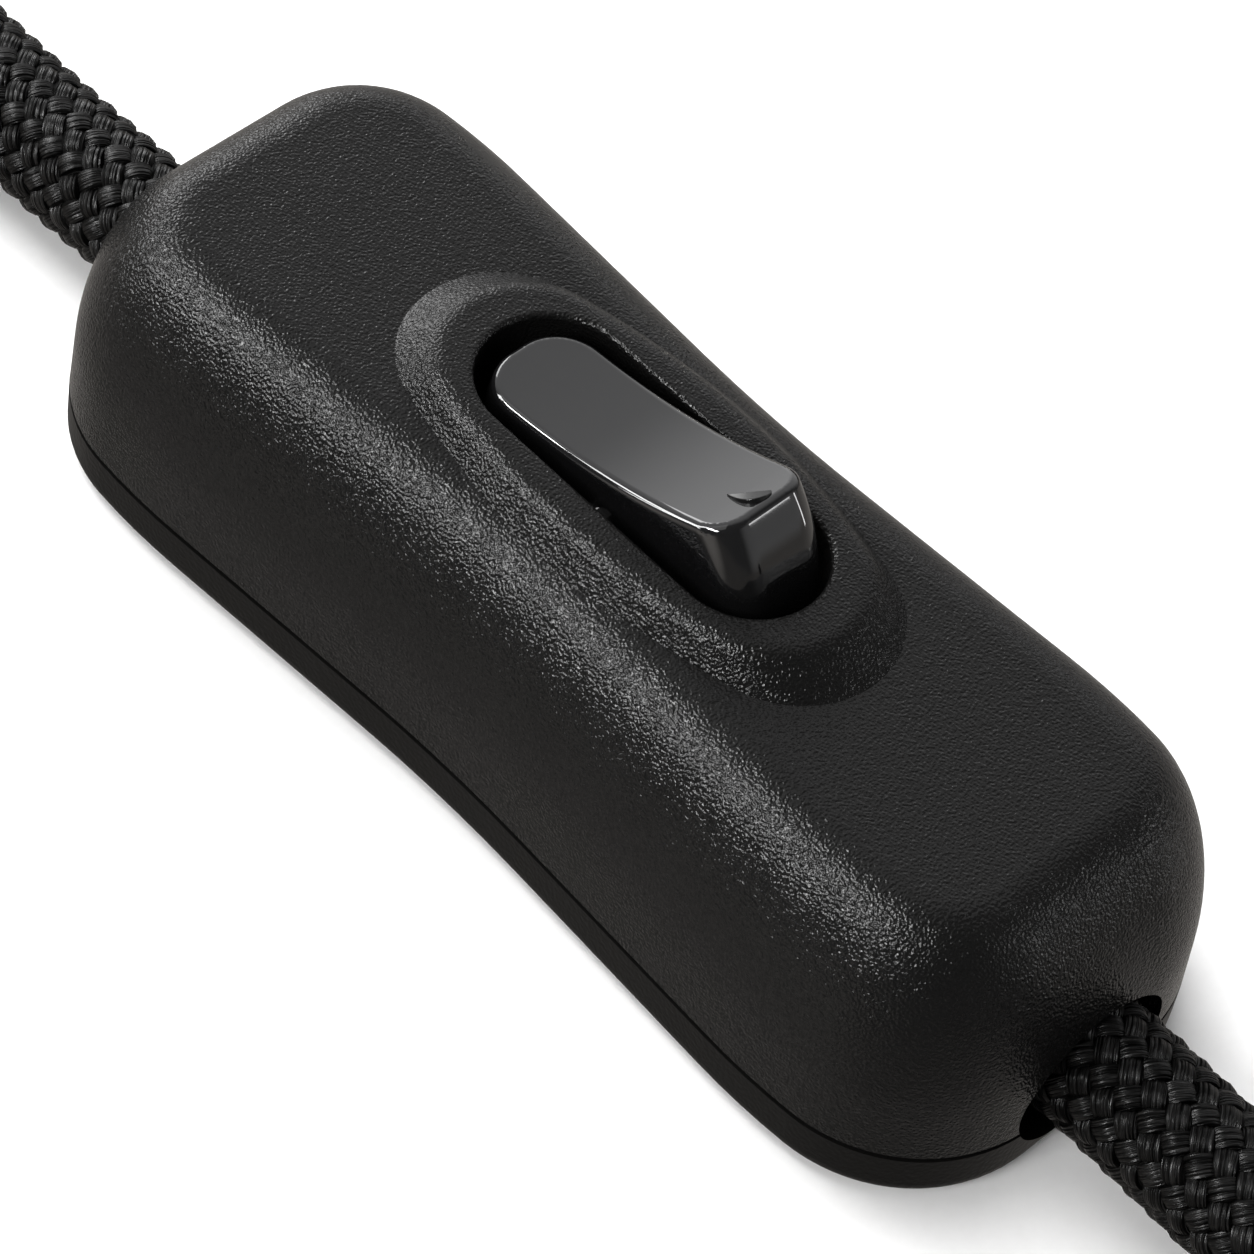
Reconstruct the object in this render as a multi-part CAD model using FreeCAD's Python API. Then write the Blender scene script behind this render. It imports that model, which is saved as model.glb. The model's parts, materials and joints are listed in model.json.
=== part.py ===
import FreeCAD, Part
import os
from math import asin, cos, degrees, pi, radians, sin, sqrt, tan

# Inline cord switch: a waisted two-part casing with a rocker in a raised collar, a see-saw contact,
# screw terminals, cord clamps, and a textile lead at each end.
# Millimetres. Origin under the middle of the casing, +X along the casing, +Z up.
# The rocker is shown with its +X end up.

V = FreeCAD.Vector
X, Y, Z = V(1, 0, 0), V(0, 1, 0), V(0, 0, 1)

# Casing outline, seen from above
casing_length = 64.0
waist_width = 22.5
waist_radius = 100.0
taper_angle = 3.1
shoulder_radius = 40.0
shoulder_turn = 8.0
corner_radius = 8.4

# Casing heights and walls
base_height = 3.05
shadow_gap = 0.3
top_height = 16.1
side_draft = 2.3
top_round = 5.4
top_rise = 10.6
base_round = 1.1
wall = 1.8
floor_thickness = 1.8
lip_thickness = 1.1
lip_height = 1.3
lip_clearance = 0.15

# Collar round the rocker, and its slot
collar_height = 1.5
collar_length = 30.0
collar_width = 13.4
collar_nose = 5.4
ridge_length = 25.2
ridge_width = 11.0
ridge_nose = 4.7
ridge_round = 1.4
collar_root = 1.0
slot_length = 20.8
slot_width = 7.6
slot_round = 0.3
skirt_thickness = 1.4
skirt_depth = 3.6
bearing_mouth = 1.92

# Rocker
pivot_depth = 2.8
rocker_tilt = 14.0
rocker_width = 6.0
rocker_end_gap = 0.9
rocker_dish = 34.0
rocker_crown = 3.7
rocker_skirt_angle = 12.0
rocker_wall = 1.3
rocker_corner = 2.5
rocker_raised_corner = 1.7
rocker_edge = 0.45
rim_tolerance = 0.05
trunnion_radius = 1.2
trunnion_reach = 1.1
trunnion_clearance = 0.05
shoulder_boss_radius = 1.6
shoulder_boss_gap = 0.2
stem_radius = 2.2
stem_length = 5.0
stem_roof = 1.9

# Plunger and spring in the rocker's stem
plunger_radius = 1.2
plunger_clearance = 0.08
plunger_length = 3.6
plunger_gap = 0.12
spring_wire = 0.3
spring_turns = 5
spring_clearance = 0.1

# See-saw contact on its saddle
seesaw_height = 7.4
seesaw_tilt = 6.0
seesaw_length = 14.4
seesaw_width = 4.2
seesaw_thickness = 0.6
seesaw_pin_radius = 0.6
seesaw_pin_clearance = 0.05
contact_reach = 6.0
contact_radius = 1.1
contact_thickness = 0.6
contact_gap = 0.05
saddle_gap = 0.4
saddle_thickness = 0.8
saddle_cap = 1.4
arm_stop_reach = 5.8
arm_stop_size = 2.2

# Screw terminals
sheet = 0.8
pad_height = 0.4
terminal_reach = 12.0
terminal_offset = 6.0
terminal_length = 5.0
terminal_width = 4.0
terminal_height = 5.2
terminal_round = 0.4
wire_hole_radius = 1.1
wire_hole_height = 2.4
terminal_screw_radius = 1.0
terminal_head_radius = 1.6
terminal_head_height = 1.3
screw_clearance = 0.05
strap_width = 2.4
pocket_wall = 0.8
pocket_height = 2.0
pocket_clearance = 0.15

# Casing screws, one at each end on opposite sides
screw_reach = 21.0
screw_offset = 7.6
boss_radius = 2.6
seat_height = 4.7
screw_radius = 1.2
screw_length = 9.0
head_radius = 2.1
head_height = 1.6
head_recess = 0.4
recess_width = 0.55
recess_span = 2.75
recess_depth = 0.8

# Cords and their inlets. A cord's arcs take arc_share of the shorter run on each side of a corner.
arc_share = 0.45
cord_diameter = 7.0
cord_height = 4.4
cord_end_reach = 23.6
cord_end_room = 0.6
inlet_width = 9.6
inlet_height = 7.7
clamp_reach = 26.2
clamp_length = 3.6
clamp_width = 15.4
clamp_thickness = 2.0
clamp_post_offset = 6.1
clamp_post_radius = 1.5
clamp_screw_radius = 0.9
clamp_head_radius = 1.35
clamp_head_height = 1.0
clamp_screw_length = 5.0
saddle_clearance = 0.1
core_diameter = 2.1
copper_diameter = 1.4
core_spread = 1.45
core_straight_share = 0.3
copper_length = 4.0

# Coils of the put-away length
ring_spacing = 7.0
coil_rings = 2
coil_layers = 2
coil_diameter = 77.0
coil_reach = 84.0
coil_edge = 3.1
tie_width = 6.0
tie_thickness = 1.0
tie_bite = 0.6

# Flat two-pin plug
plug_length = 35.3
plug_swell = 19.4
plug_taper = 3.0
plug_rise = 1.2
plug_width = 13.7
plug_nose_width = 33.0
plug_height = 13.7
plug_round = 3.0
pin_diameter = 4.0
pin_length = 19.0
pin_spacing = 18.6
pin_sunk = 8.0
pin_root_diameter = 2.8
pin_tip_round = 1.6
relief_length = 24.0
relief_diameter = 11.0
relief_grooves = 5
relief_groove_width = 1.2
relief_groove_depth = 1.0
relief_lead = 2.4

# Bare lead end
end_sleeve_back = 6.0
end_sleeve_front = 5.0
end_sleeve_wall = 0.5
end_sleeve_round = 2.1
sleeve_clearance = 0.05
end_core_length = 24.0
end_core_spread = 2.6
end_core_bend = 1.56
ferrule_diameter = 1.9
ferrule_length = 8.0

# Levels and places that follow from the sizes above
half_length = casing_length / 2
collar_top = top_height + collar_height
roof = top_height - wall
pivot_z = collar_top - pivot_depth
cord_radius = cord_diameter / 2
lip_top = base_height + lip_height
pad_top = floor_thickness + pad_height
strap_top = pad_top + sheet
wire_level = pad_top + wire_hole_height
core_radius = core_diameter / 2
copper_radius = copper_diameter / 2
slot_wall = slot_width / 2
rocker_end_radius = slot_length / 2 - rocker_end_gap
stem_bore = plunger_radius + plunger_clearance
plunger_tip = pivot_z - seesaw_height - seesaw_thickness / 2 - plunger_gap
plunger_top = plunger_tip - plunger_length
coil_radius = coil_diameter / 2
coil_half = coil_rings * ring_spacing / 2
coil_height = coil_layers * cord_diameter

# Routes of the two leads from inside the casing to their coils, and from the coils to their far ends
supply_route = [
    V(cord_end_reach, 0.3, cord_height), V(half_length, 0.3, cord_height), V(43, 0.5, 4.1),
    V(57, -0.2, 3.7), V(71, -1.6, 3.5), V(coil_reach, -2.0, 3.5),
]
supply_tail_route = [
    V(coil_reach, 82, 10.5), V(67, 82.6, 9.3), V(50, 82.2, 7.3), V(36, 81.4, 6.85), V(24, 81.0, 6.85),
]
lamp_route = [
    V(-cord_end_reach, -0.65, cord_height), V(-half_length, -0.65, cord_height), V(-42, -0.8, 3.75),
    V(-56, -0.5, 3.5), V(-70, 0.6, 3.5), V(-coil_reach, 1.0, 3.5),
]
lamp_tail_route = [
    V(-coil_reach, -83, 10.5), V(-68, -83.6, 8.8), V(-52, -83.3, 5.2), V(-38, -82.4, 3.5),
    V(-26, -81.6, 3.5),
]
supply_coil_centre = V(coil_reach, (supply_route[-1].y + supply_tail_route[0].y) / 2, 0)
lamp_coil_centre = V(-coil_reach, (lamp_route[-1].y + lamp_tail_route[0].y) / 2, 0)

nodes = {}


def block(x0, x1, y0, y1, z0, z1):
    return Part.makeBox(x1 - x0, y1 - y0, z1 - z0, V(x0, y0, z0))


def rod(radius, start, end):
    run = end - start
    return Part.makeCylinder(radius, run.Length, start, run)


def prism(wire, height):
    return Part.Face(wire).extrude(V(0, 0, height))


def fuse(first, *others):
    return first.fuse(list(others)).removeSplitter()


def mirrored(edges, across):
    return [edge.mirror(V(0, 0, 0), across) for edge in edges]


def closed_wire(edges):
    return Part.Wire(Part.__sortEdges__(edges))


def casing_outline(inset, z):
    """Waisted outline with tapered sides, soft shoulders and round corners, moved in by inset."""
    turn_out = radians(taper_angle)
    turn_in = radians(taper_angle - shoulder_turn)
    waist = waist_radius + inset
    shoulder = shoulder_radius - inset
    corner = corner_radius - inset
    waist_end = V(waist * sin(turn_out), waist_width / 2 - inset + waist * (1 - cos(turn_out)), z)
    shoulder_run = shoulder * (sin(turn_out) - sin(turn_in))
    corner_run = corner * (sin(turn_in) + 1)
    taper_run = half_length - inset - waist_end.x - shoulder_run - corner_run
    taper_end = waist_end + V(taper_run, taper_run * tan(turn_out), 0)

    def bend(start, radius, heading, new_heading):
        middle = (heading + new_heading) / 2

        def point(angle):
            return start + V(radius * (sin(heading) - sin(angle)), radius * (cos(angle) - cos(heading)), 0)

        return Part.Arc(start, point(middle), point(new_heading)).toShape(), point(new_heading)

    shoulder_arc, shoulder_end = bend(taper_end, shoulder, turn_out, turn_in)
    corner_arc, corner_end = bend(shoulder_end, corner, turn_in, -pi / 2)
    quarter = [Part.LineSegment(waist_end, taper_end).toShape(), shoulder_arc, corner_arc]
    half = quarter + mirrored(quarter, X)
    left_waist = V(-waist_end.x, waist_end.y, z)
    half.append(Part.Arc(left_waist, V(0, waist_width / 2 - inset, z), waist_end).toShape())
    edges = half + mirrored(half, Y)
    for side in (1, -1):
        end = V(side * corner_end.x, corner_end.y, z)
        edges.append(Part.LineSegment(end, V(end.x, -end.y, z)).toShape())
    return closed_wire(edges)


def oval_outline(length, width, nose, z):
    """Long oval of two flat side arcs and two round noses that meet tangent."""
    a, b = length / 2, width / 2
    side = ((a - nose) ** 2 + b ** 2 - nose ** 2) / (2 * (b - nose))
    lean = asin((a - nose) / (side - nose))
    tip = V(a - nose + nose * sin(lean), nose * cos(lean), z)
    nose_arc = Part.Arc(tip, V(a, 0, z), V(tip.x, -tip.y, z)).toShape()
    side_arc = Part.Arc(V(-tip.x, tip.y, z), V(0, b, z), tip).toShape()
    return closed_wire([nose_arc, side_arc] + mirrored([nose_arc], X) + mirrored([side_arc], Y))


def stadium_outline(length, width, z):
    """Slot outline with straight sides and half-round ends."""
    end, side = length / 2, width / 2
    run = end - side
    nose = Part.Arc(V(run, side, z), V(end, 0, z), V(run, -side, z)).toShape()
    edge = Part.LineSegment(V(-run, side, z), V(run, side, z)).toShape()
    return closed_wire([nose, edge] + mirrored([nose], X) + mirrored([edge], Y))


def stadium(length, width, z0, z1):
    return prism(stadium_outline(length, width, z0), z1 - z0)


def level_edges(shape, z):
    """Edges that lie wholly on the level z."""
    return [e for e in shape.Edges if abs(e.BoundBox.ZMin - z) < 1e-4 and abs(e.BoundBox.ZMax - z) < 1e-4]


def casing_dome(inset, z0, z1):
    """Drafted casing form from z0 to z1, its top edge rounded in an arc that is taller than it is wide."""
    lean = tan(radians(side_draft))
    rounding = top_round - inset
    stretch = (top_rise - inset) / rounding
    low = casing_outline(inset + (z0 - base_height) * lean, z0 / stretch)
    high = casing_outline(inset + (z1 - base_height) * lean, z1 / stretch)
    form = Part.makeLoft([low, high], True, True)
    form = form.makeFillet(rounding, level_edges(form, z1 / stretch))
    taller = FreeCAD.Matrix()
    taller.scale(1, 1, stretch)
    return form.transformGeometry(taller)


def collar():
    """Raised oval with sloped flanks that carries the slot. Its root runs down into the rounded top."""
    def section(drop):
        part = (collar_height + drop) / collar_height
        return oval_outline(
            ridge_length + (collar_length - ridge_length) * part,
            ridge_width + (collar_width - ridge_width) * part,
            ridge_nose + (collar_nose - ridge_nose) * part, top_height - drop)

    form = Part.makeLoft([section(collar_root), section(-collar_height)], True, True)
    return form.makeFillet(ridge_round, level_edges(form, collar_top))


def inlet(side):
    """Arched opening for the cord through an end of the casing."""
    ellipse = Part.Ellipse(V(0, 0, 0), inlet_width / 2, inlet_height / 2).toShape()
    start = cord_end_reach - cord_end_room
    passage = Part.Face(Part.Wire(ellipse)).extrude(V(0, 0, half_length - start + wall))
    passage.rotate(V(0, 0, 0), V(1, 1, 1), 120)
    passage.translate(V(start, 0, cord_height))
    return passage if side > 0 else passage.mirror(V(0, 0, 0), X)


def casing_screw_places():
    return [V(screw_reach, screw_offset, 0), V(-screw_reach, -screw_offset, 0)]


def upper_housing():
    outer = casing_dome(0, base_height + shadow_gap, top_height).fuse(collar()).removeSplitter()
    cavity = casing_dome(wall, base_height, roof)
    shell = outer.cut(cavity)
    skirt_low = roof - skirt_depth + collar_height
    skirt = stadium(slot_length + 2 * skirt_thickness, slot_width + 2 * skirt_thickness, skirt_low,
                    roof + wall / 2)
    bosses = [rod(boss_radius, p + Z * seat_height, p + Z * top_height).common(outer)
              for p in casing_screw_places()]
    shell = shell.fuse([skirt] + bosses)
    shell = shell.cut(stadium(slot_length, slot_width, skirt_low - 1, collar_top + 1))
    axis = V(0, slot_width, 0)
    pivot = V(0, 0, pivot_z)
    bearing = rod(trunnion_radius + trunnion_clearance, pivot - axis, pivot + axis)
    mouth = bearing_mouth / 2
    lead_in = block(-mouth, mouth, -slot_width, slot_width, skirt_low - 1, pivot_z)
    pilot_top = Z * (head_recess + head_height + screw_length)
    pilots = [rod(screw_radius + screw_clearance, p, p + pilot_top) for p in casing_screw_places()]
    bearings = [bearing.common(skirt_room()), lead_in.common(skirt_room())]
    shell = shell.cut(bearings + pilots + [inlet(1), inlet(-1)])
    shell = shell.removeSplitter()
    return shell.makeFillet(slot_round, slot_edges(shell))


def skirt_room():
    """Space inside which the rocker's bearings may be cut, so that no cut shows from outside."""
    reach = slot_width / 2 + skirt_thickness
    return block(-half_length, half_length, -reach, reach, 0, top_height)


def slot_edges(shape):
    near = slot_wall + rim_tolerance
    return [e for e in level_edges(shape, collar_top) if e.BoundBox.YMax < near and e.BoundBox.YMin > -near]


def base_cover():
    plate = Part.makeLoft([casing_outline(0, 0), casing_outline(0, base_height)], True, True)
    plate = plate.makeFillet(base_round, level_edges(plate, 0))
    plate = plate.cut(prism(casing_outline(wall, floor_thickness), base_height))
    lip_out = wall + lip_clearance
    lip = prism(casing_outline(lip_out, floor_thickness), lip_top - floor_thickness)
    lip = lip.cut(prism(casing_outline(lip_out + lip_thickness, floor_thickness), lip_top))
    posts = [Part.makeCylinder(boss_radius, seat_height, p) for p in casing_screw_places()]
    boss_room = [Part.makeCylinder(boss_radius + lip_clearance, lip_top, p + V(0, 0, seat_height))
                 for p in casing_screw_places()]
    clamp_posts = [rod(clamp_post_radius, V(side * clamp_reach, y, floor_thickness / 2),
                       V(side * clamp_reach, y, clamp_seat()))
                   for side in (1, -1) for y in (clamp_post_offset, -clamp_post_offset)]
    body = fuse(plate, lip, *(posts + clamp_posts + terminal_pads() + pockets() + [arm_stop()]))
    holes = []
    for p in casing_screw_places():
        holes.append(Part.makeCylinder(screw_radius + screw_clearance, seat_height + 1, p))
        holes.append(Part.makeCylinder(head_radius + 2 * screw_clearance, head_recess + head_height, p))
    for side in (1, -1):
        for y in (clamp_post_offset, -clamp_post_offset):
            top = V(side * clamp_reach, y, clamp_seat())
            holes.append(rod(clamp_screw_radius + screw_clearance, top - Z * clamp_screw_length, top + Z))
    return body.cut(holes + boss_room + [inlet(1), inlet(-1)]).removeSplitter()


def terminal_pads():
    """Low pads that hold the terminals off the floor."""
    pads = []
    for x in (terminal_reach, -terminal_reach):
        for y in (terminal_offset, -terminal_offset):
            pads.append(block(x - terminal_length / 2, x + terminal_length / 2, y - terminal_width / 2,
                              y + terminal_width / 2, floor_thickness / 2, pad_top))
    ear = saddle_outer()
    pads.append(block(-saddle_cap, saddle_cap, -ear, ear, floor_thickness / 2, pad_top))
    post = contact_post_x()
    pads.append(block(post - contact_radius, post + contact_radius, -contact_radius, contact_radius,
                      floor_thickness / 2, pad_top))
    return pads


def pockets():
    """Ribs outside each terminal that keep it from turning under its screw."""
    ribs = []
    near = terminal_offset + terminal_width / 2 + pocket_clearance
    for x in (terminal_reach, -terminal_reach):
        for side in (1, -1):
            low, high = sorted((side * near, side * (near + pocket_wall)))
            ribs.append(block(x - terminal_length / 2, x + terminal_length / 2, low, high,
                              floor_thickness / 2, pad_top + pocket_height))
    return ribs


def arm_stop():
    """Post that the free arm of the see-saw comes to rest over."""
    drop = (arm_stop_reach + arm_stop_size) * sin(radians(seesaw_tilt))
    top = seesaw_height - seesaw_thickness - drop - contact_gap
    return block(arm_stop_reach - arm_stop_size / 2, arm_stop_reach + arm_stop_size / 2, -arm_stop_size / 2,
                 arm_stop_size / 2, floor_thickness / 2, top)


def rocker_profile(crown, end_radius, low):
    """Side view of the rocker about its pivot: dished top, round ends about the pivot, flat underside."""
    centre = crown + rocker_dish
    top = (end_radius ** 2 - rocker_dish ** 2 + centre ** 2) / (2 * centre)
    tip = sqrt(end_radius ** 2 - top ** 2)
    foot = sqrt(end_radius ** 2 - low ** 2)
    right = Part.Arc(V(tip, 0, top), V(end_radius, 0, 0), V(foot, 0, low)).toShape()
    left = Part.Arc(V(-tip, 0, top), V(-end_radius, 0, 0), V(-foot, 0, low)).toShape()
    dish = Part.Arc(V(-tip, 0, top), V(0, 0, crown), V(tip, 0, top)).toShape()
    under = Part.LineSegment(V(-foot, 0, low), V(foot, 0, low)).toShape()
    return closed_wire([right, left, dish, under])


def rocker_block(crown, end_radius, low, width):
    face = Part.Face(rocker_profile(crown, end_radius, low))
    face.translate(V(0, -width / 2, 0))
    return face.extrude(V(0, width, 0))


def set_in_casing(shape):
    """From the rocker's own level frame about its pivot to its place, tilted with the +X end up."""
    shape.rotate(V(0, 0, 0), Y, -rocker_tilt)
    shape.translate(V(0, 0, pivot_z))
    return shape


def rocker():
    low = -rocker_end_radius * sin(radians(rocker_skirt_angle))
    body = rocker_block(rocker_crown, rocker_end_radius, low, rocker_width)
    for side, radius in ((-1, rocker_corner), (1, rocker_raised_corner)):
        boxes = [(e, e.BoundBox) for e in body.Edges]
        upright = [(e, b) for e, b in boxes if b.YLength < 1e-6 and b.XLength < b.ZLength]
        body = body.makeFillet(radius, [e for e, b in upright if side * b.Center.x > 0])
    rim = [e for e in body.Edges if e.BoundBox.ZMin > rocker_crown - rim_tolerance]
    body = body.makeFillet(rocker_edge, rim)
    hollow = rocker_block(rocker_crown - rocker_wall, rocker_end_radius - rocker_wall, low - 1,
                          rocker_width - 2 * rocker_wall)
    body = body.cut(hollow)
    stem = rod(stem_radius, V(0, 0, -stem_length), V(0, 0, rocker_crown - rocker_wall / 2))
    reach = slot_wall + trunnion_reach
    shoulder = slot_wall - shoulder_boss_gap
    extras = [stem]
    for side in (1, -1):
        inner = V(0, side * (rocker_width / 2 - rocker_wall / 2), 0)
        extras.append(rod(shoulder_boss_radius, inner, V(0, side * shoulder, 0)))
        extras.append(rod(trunnion_radius, inner, V(0, side * reach, 0)))
    bore = rod(stem_bore, V(0, 0, -stem_length - 1), V(0, 0, stem_roof))
    return set_in_casing(fuse(body, *extras).cut(bore))


def plunger():
    """Round-nosed pin that slides in the rocker's stem."""
    body = rod(plunger_radius, V(0, 0, -plunger_tip + plunger_radius), V(0, 0, -plunger_top))
    nose = Part.makeSphere(plunger_radius, V(0, 0, -plunger_tip + plunger_radius))
    return set_in_casing(fuse(body, nose))


def spring():
    """Compression spring between the plunger and the roof of the stem's bore."""
    radius = plunger_radius - spring_clearance - spring_wire / 2
    low = -plunger_top + spring_wire / 2
    height = stem_roof + plunger_top - spring_wire
    helix = Part.makeHelix(height / spring_turns, height, radius)
    section = Part.Wire(Part.makeCircle(spring_wire / 2, V(radius, 0, 0), Y))
    coil = Part.Wire(helix.Edges).makePipeShell([section], True, True)
    coil.translate(V(0, 0, low))
    return set_in_casing(coil)


def set_seesaw(shape):
    shape.rotate(V(0, 0, 0), Y, seesaw_tilt)
    shape.translate(V(0, 0, seesaw_height))
    return shape


def saddle_outer():
    return seesaw_width / 2 + saddle_gap + saddle_thickness


def seesaw():
    """Flat bronze arm with side pins that tips over the saddle."""
    arm = stadium(seesaw_length, seesaw_width, -seesaw_thickness / 2, seesaw_thickness / 2)
    root = seesaw_width / 2 - seesaw_thickness
    pins = [rod(seesaw_pin_radius, Y * (side * root), Y * (side * saddle_outer())) for side in (1, -1)]
    return set_seesaw(fuse(arm, *pins))


def moving_contact():
    top = V(-contact_reach, 0, -seesaw_thickness / 2)
    return set_seesaw(rod(contact_radius, top - Z * contact_thickness, top))


def contact_level():
    """Height of the fixed contact's face, just under the moving contact when the switch is on."""
    edge = contact_reach + contact_radius
    depth = seesaw_thickness / 2 + contact_thickness
    tilt = radians(seesaw_tilt)
    return seesaw_height - edge * sin(tilt) - depth * cos(tilt) - contact_gap


def contact_post_x():
    return -contact_reach


def terminal_body(x, y):
    """Brass block with a hole for the wire along X and a screw from above."""
    body = block(x - terminal_length / 2, x + terminal_length / 2, y - terminal_width / 2,
                 y + terminal_width / 2, pad_top, pad_top + terminal_height)
    uprights = [e for e in body.Edges if e.BoundBox.ZLength > terminal_height / 2]
    middle = V(x, y, wire_level)
    wire_hole = rod(wire_hole_radius, middle - X * terminal_length, middle + X * terminal_length)
    screw_hole = rod(terminal_screw_radius + screw_clearance, middle, middle + Z * terminal_height)
    return body.makeFillet(terminal_round, uprights).cut([wire_hole, screw_hole])


def common_terminal():
    """Live inlet: terminal block, strap, and the two-eared saddle that the see-saw tips on."""
    ear_in = seesaw_width / 2 + saddle_gap
    ear_out = saddle_outer()
    edge = terminal_offset - strap_width / 2
    parts = [block(-saddle_cap, saddle_cap, -edge - strap_width, ear_out, pad_top, strap_top),
             block(-saddle_cap, terminal_reach, -edge - strap_width, -edge, pad_top, strap_top)]
    through = Y * (ear_out + 1)
    pivot = Z * seesaw_height
    hole = rod(seesaw_pin_radius + seesaw_pin_clearance, pivot - through, pivot + through)
    for side in (1, -1):
        low, high = sorted((side * ear_in, side * ear_out))
        upright = block(-saddle_cap, saddle_cap, low, high, pad_top, seesaw_height)
        cap = rod(saddle_cap, V(0, low, seesaw_height), V(0, high, seesaw_height))
        parts += [upright, cap]
    return fuse(terminal_body(terminal_reach, -terminal_offset), *parts).cut(hole)


def switched_terminal():
    """Live outlet: terminal block, strap, and the post under the fixed contact."""
    edge = terminal_offset - strap_width / 2
    post = contact_post_x()
    top = contact_level() - contact_thickness
    left, right = post - contact_radius, post + contact_radius
    parts = [block(-terminal_reach, right, -edge - strap_width, -edge, pad_top, strap_top),
             block(left, right, -edge - strap_width, contact_radius, pad_top, strap_top),
             block(left, right, -contact_radius, contact_radius, pad_top, top)]
    return fuse(terminal_body(-terminal_reach, -terminal_offset), *parts)


def fixed_contact():
    face = V(contact_post_x(), 0, contact_level())
    return rod(contact_radius, face - Z * contact_thickness, face)


def neutral_link():
    """Straight-through neutral: two terminal blocks joined by a strap."""
    strap = block(-terminal_reach, terminal_reach, terminal_offset - strap_width / 2,
                  terminal_offset + strap_width / 2, pad_top, strap_top)
    blocks = [terminal_body(side * terminal_reach, terminal_offset) for side in (1, -1)]
    return fuse(strap, *blocks)


def slotted_screw(shank, length, head, head_tall, seat):
    """Cheese-head screw with its head's underside at seat, pointing down."""
    body = fuse(rod(shank, seat - Z * length, seat), rod(head, seat, seat + Z * head_tall))
    slot = block(seat.x - head, seat.x + head, seat.y - recess_width / 2, seat.y + recess_width / 2,
                 seat.z + head_tall / 2, seat.z + head_tall + 1)
    return body.cut(slot)


def terminal_screws():
    top = pad_top + terminal_height
    length = top - wire_level - copper_radius - contact_gap
    seats = [V(x, y, top) for x in (terminal_reach, -terminal_reach)
             for y in (terminal_offset, -terminal_offset)]
    return Part.makeCompound([
        slotted_screw(terminal_screw_radius, length, terminal_head_radius, terminal_head_height, seat)
        for seat in seats])


def casing_screws():
    """Cross-head screws from below, sunk in the base."""
    screws = []
    for p in casing_screw_places():
        seat = p + Z * (head_recess + head_height)
        shank = rod(screw_radius, seat, seat + Z * screw_length)
        body = fuse(rod(head_radius, p + Z * head_recess, seat), shank)
        for along, across in ((recess_span, recess_width), (recess_width, recess_span)):
            bar = block(-along / 2, along / 2, -across / 2, across / 2, -1, recess_depth)
            bar.translate(p + Z * head_recess)
            body = body.cut(bar)
        screws.append(body)
    return Part.makeCompound(screws)


def clamp_seat():
    """Height at which the clamp bars lie on their posts."""
    return cord_height + cord_radius - clamp_thickness / 2


def cord_clamp(side, cord_y):
    """Bar across the cord with a round saddle under it."""
    low = clamp_seat()
    bar = stadium(clamp_width, clamp_length, low, low + clamp_thickness + saddle_clearance)
    bar.rotate(V(0, 0, 0), Z, 90)
    bar.translate(V(side * clamp_reach, 0, 0))
    seat = V(side * clamp_reach, cord_y, cord_height)
    saddle = rod(cord_radius + saddle_clearance, seat - X * clamp_length, seat + X * clamp_length)
    posts = [V(side * clamp_reach, y, 0) for y in (clamp_post_offset, -clamp_post_offset)]
    holes = [rod(clamp_screw_radius + screw_clearance, p, p + Z * top_height) for p in posts]
    return bar.cut([saddle] + holes)


def clamp_screws():
    seat = clamp_seat() + clamp_thickness + saddle_clearance
    length = clamp_screw_length + clamp_thickness / 2
    seats = [V(side * clamp_reach, y, seat) for side in (1, -1)
             for y in (clamp_post_offset, -clamp_post_offset)]
    return Part.makeCompound([
        slotted_screw(clamp_screw_radius, length, clamp_head_radius, clamp_head_height, place)
        for place in seats])


def rounded_path(points):
    """Straight runs joined by tangent arcs as large as the runs allow, as a wire, and the arcs' radii."""
    edges, radii = [], []
    start = points[0]
    for before, corner, after in zip(points, points[1:], points[2:]):
        inward, outward = before - corner, after - corner
        turn = pi - inward.getAngle(outward)
        trim = arc_share * min(inward.Length, outward.Length)
        radius = trim / tan(turn / 2)
        first = corner + V(inward).normalize() * trim
        last = corner + V(outward).normalize() * trim
        bisector = (V(inward).normalize() + V(outward).normalize()).normalize()
        middle = corner + bisector * (radius / cos(turn / 2) - radius)
        edges.append(Part.LineSegment(start, first).toShape())
        edges.append(Part.Arc(first, middle, last).toShape())
        radii.append(radius)
        start = last
    edges.append(Part.LineSegment(start, points[-1]).toShape())
    return Part.Wire(edges), radii


def tube(name, points, radius):
    path, radii = rounded_path(points)
    section = Part.Wire(Part.makeCircle(radius, points[0], points[1] - points[0]))
    shape = path.makePipeShell([section], True, False)
    share = shape.Volume / (pi * radius ** 2 * path.Length)
    print(name, "length", round(path.Length, 1), "volume share", round(share, 3))
    print(name, "radii", [round(r) for r in radii])
    return shape


def core_route(side, y, cord_y):
    """From the cord's cut end to the terminal on the same side of the casing."""
    start = V(side * cord_end_reach, cord_y + (core_spread if y > 0 else -core_spread), cord_height)
    end = V(side * (terminal_reach + terminal_length / 2), y, wire_level)
    straight = X * (core_straight_share * (start.x - end.x))
    return [start, start - straight, end + straight, end]


def copper_end(side, y):
    face = V(side * (terminal_reach + terminal_length / 2), y, wire_level)
    return rod(copper_radius, face, face - X * (side * copper_length))


def tie_loop(half, length, low, high, rounding):
    form = block(-half, half, -length / 2, length / 2, low, high)
    return form.makeFillet(rounding, [e for e in form.Edges if e.BoundBox.YLength > tie_width / 2])


def tie_bore():
    """Space inside the strap, drawn a little into the bundle."""
    return tie_loop(coil_half - tie_bite, 2 * tie_width, tie_thickness, coil_height - tie_bite,
                    cord_radius - tie_thickness)


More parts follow.
